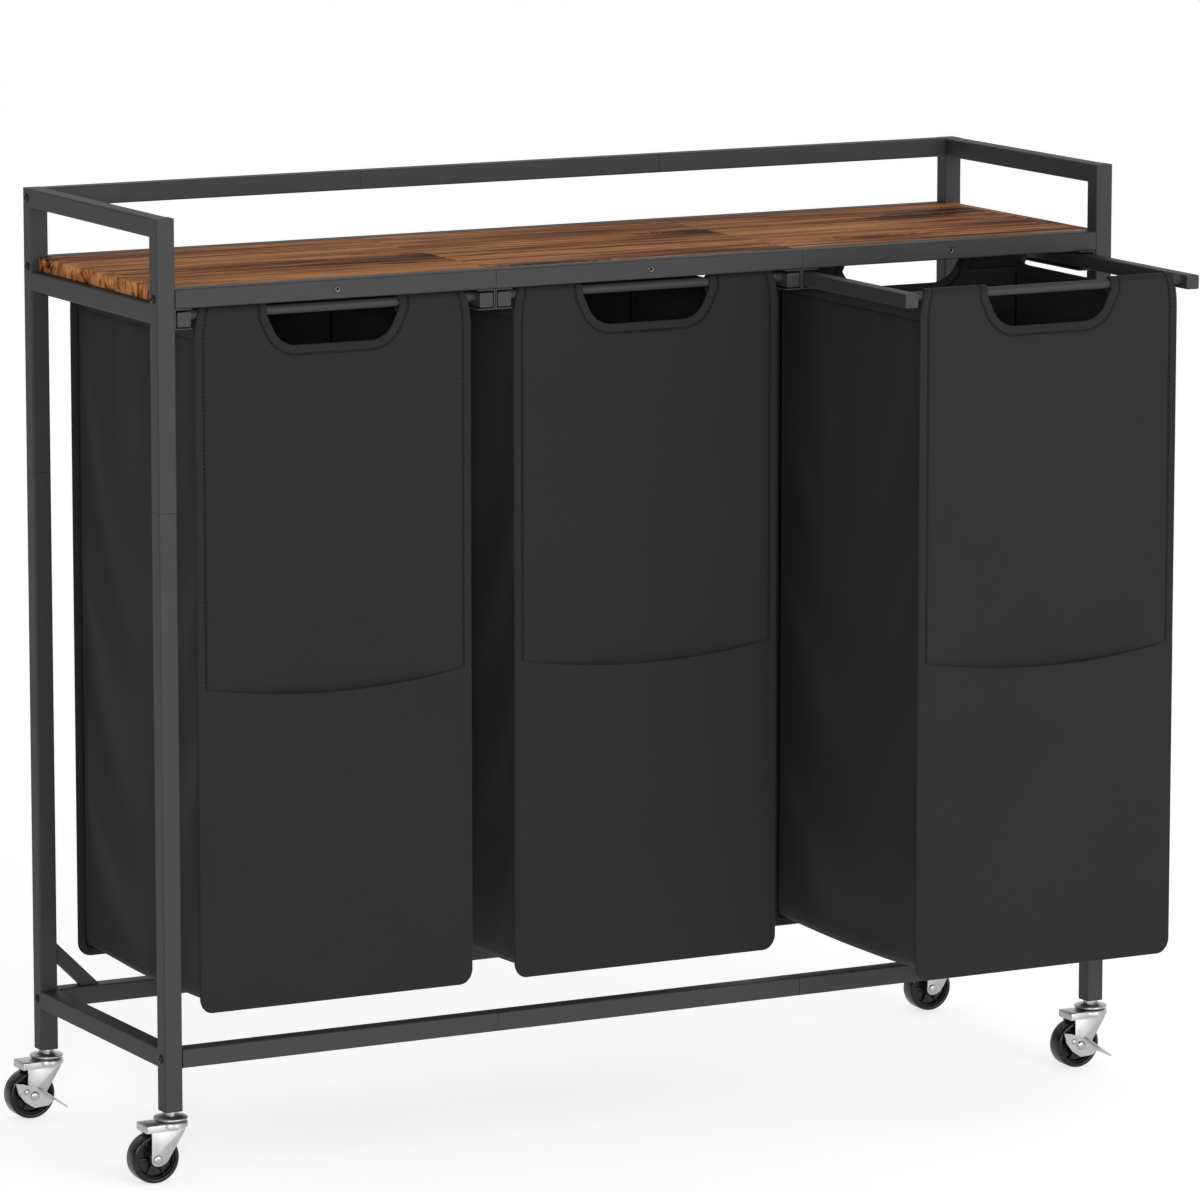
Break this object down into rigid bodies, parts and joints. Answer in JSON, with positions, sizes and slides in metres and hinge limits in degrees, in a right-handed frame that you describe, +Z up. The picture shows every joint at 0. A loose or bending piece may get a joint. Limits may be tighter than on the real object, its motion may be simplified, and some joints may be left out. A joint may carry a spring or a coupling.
{
  "type": "laundry cart",
  "caption": "Rolling laundry sorter: slim steel tube frame, plank shelf, fabric bags that pull out on slide tubes, swivel casters with brake levers.",
  "frame": {"origin": "on the floor under the middle of the bounding box", "axes": "+X along the length to the right seen from the front, -Y the side the bags pull out to, +Z up"},
  "size_m": [1.1744, 0.559, 0.995],
  "materials": {
    "frame_paint": "matte fine-textured dark grey powder coat",
    "slide_paint": "matte dark grey powder coat",
    "board_wood": "rustic brown laminate with dark grain and knots",
    "bag_fabric": "charcoal plain-weave polyester, matte",
    "wheel_plastic": "glossy black",
    "zinc": "bright zinc plate"
  },
  "bodies": {
    "frame": {"side_frame_upper_left": "frame_paint", "side_frame_lower_left": "frame_paint", "corner_brace_left": "frame_paint", "side_frame_upper_right": "frame_paint", "side_frame_lower_right": "frame_paint", "corner_brace_right": "frame_paint", "rail_top_rear_left": "frame_paint", "rail_top_rear_middle": "frame_paint", "rail_top_rear_right": "frame_paint", "rail_shelf_front_left": "frame_paint", "rail_shelf_front_middle": "frame_paint", "rail_shelf_front_right": "frame_paint", "rail_shelf_rear_left": "frame_paint", "rail_shelf_rear_middle": "frame_paint", "rail_shelf_rear_right": "frame_paint", "rail_lower_front_left": "frame_paint", "rail_lower_front_middle": "frame_paint", "rail_lower_front_right": "frame_paint", "rail_lower_rear_left": "frame_paint", "rail_lower_rear_middle": "frame_paint", "rail_lower_rear_right": "frame_paint", "shelf_board_1": "board_wood", "shelf_screw_1": "zinc", "slide_channel_1_left": "slide_paint", "slide_channel_1_right": "slide_paint", "shelf_board_2": "board_wood", "shelf_screw_2": "zinc", "slide_channel_2_left": "slide_paint", "slide_channel_2_right": "slide_paint", "shelf_board_3": "board_wood", "shelf_screw_3": "zinc", "slide_channel_3_left": "slide_paint", "slide_channel_3_right": "slide_paint", "caster_stem_front_left": "zinc", "caster_stem_front_right": "zinc", "caster_stem_rear_left": "zinc", "caster_stem_rear_right": "zinc"},
    "bag_1": {"bag_slide_frame_1": "slide_paint", "bag_fabric_1": "bag_fabric", "bag_pocket_1": "bag_fabric"},
    "bag_2": {"bag_slide_frame_2": "slide_paint", "bag_fabric_2": "bag_fabric", "bag_pocket_2": "bag_fabric"},
    "bag_3": {"bag_slide_frame_3": "slide_paint", "bag_fabric_3": "bag_fabric", "bag_pocket_3": "bag_fabric"},
    "swivel_front_left": {"caster_fork_front_left": "zinc", "caster_axle_front_left": "zinc"},
    "wheel_front_left": {"caster_wheel_front_left": "wheel_plastic"},
    "swivel_front_right": {"caster_fork_front_right": "zinc", "caster_axle_front_right": "zinc"},
    "wheel_front_right": {"caster_wheel_front_right": "wheel_plastic"},
    "brake_front_right": {"caster_brake_front_right": "zinc"},
    "swivel_rear_left": {"caster_fork_rear_left": "zinc", "caster_axle_rear_left": "zinc"},
    "wheel_rear_left": {"caster_wheel_rear_left": "wheel_plastic"},
    "brake_rear_left": {"caster_brake_rear_left": "zinc"},
    "swivel_rear_right": {"caster_fork_rear_right": "zinc", "caster_axle_rear_right": "zinc"},
    "wheel_rear_right": {"caster_wheel_rear_right": "wheel_plastic"}
  },
  "joints": [
    {"name": "bag_1_slide", "type": "slide", "parent": "frame", "child": "bag_1", "axis": [0, -1, 0], "range_m": [0, 0.27]},
    {"name": "bag_2_slide", "type": "slide", "parent": "frame", "child": "bag_2", "axis": [0, -1, 0], "range_m": [0, 0.27]},
    {"name": "bag_3_slide", "type": "slide", "parent": "frame", "child": "bag_3", "axis": [0, -1, 0], "range_m": [-0.212, 0.058]},
    {"name": "caster_front_left_swivel", "type": "hinge", "parent": "frame", "child": "swivel_front_left", "pos_m": [-0.54075, -0.05745, 0.063], "axis": [0, 0, 1], "continuous": true},
    {"name": "caster_front_left_roll", "type": "hinge", "parent": "swivel_front_left", "child": "wheel_front_left", "pos_m": [-0.56125, -0.05745, 0.026], "axis": [0, 1, 0], "continuous": true},
    {"name": "caster_front_right_swivel", "type": "hinge", "parent": "frame", "child": "swivel_front_right", "pos_m": [0.56925, -0.05745, 0.063], "axis": [0, 0, 1], "continuous": true},
    {"name": "caster_front_right_roll", "type": "hinge", "parent": "swivel_front_right", "child": "wheel_front_right", "pos_m": [0.54875, -0.05745, 0.026], "axis": [0, 1, 0], "continuous": true},
    {"name": "caster_front_right_brake", "type": "hinge", "parent": "swivel_front_right", "child": "brake_front_right", "pos_m": [0.54875, -0.05745, 0.026], "axis": [0, 1, 0], "range_deg": [-22, 0]},
    {"name": "caster_rear_left_swivel", "type": "hinge", "parent": "frame", "child": "swivel_rear_left", "pos_m": [-0.54075, 0.26155, 0.063], "axis": [0, 0, 1], "continuous": true},
    {"name": "caster_rear_left_roll", "type": "hinge", "parent": "swivel_rear_left", "child": "wheel_rear_left", "pos_m": [-0.56125, 0.26155, 0.026], "axis": [0, 1, 0], "continuous": true},
    {"name": "caster_rear_left_brake", "type": "hinge", "parent": "swivel_rear_left", "child": "brake_rear_left", "pos_m": [-0.56125, 0.26155, 0.026], "axis": [0, 1, 0], "range_deg": [-22, 0]},
    {"name": "caster_rear_right_swivel", "type": "hinge", "parent": "frame", "child": "swivel_rear_right", "pos_m": [0.56925, 0.26155, 0.063], "axis": [0, 0, 1], "continuous": true},
    {"name": "caster_rear_right_roll", "type": "hinge", "parent": "swivel_rear_right", "child": "wheel_rear_right", "pos_m": [0.54875, 0.26155, 0.026], "axis": [0, 1, 0], "continuous": true}
  ]
}
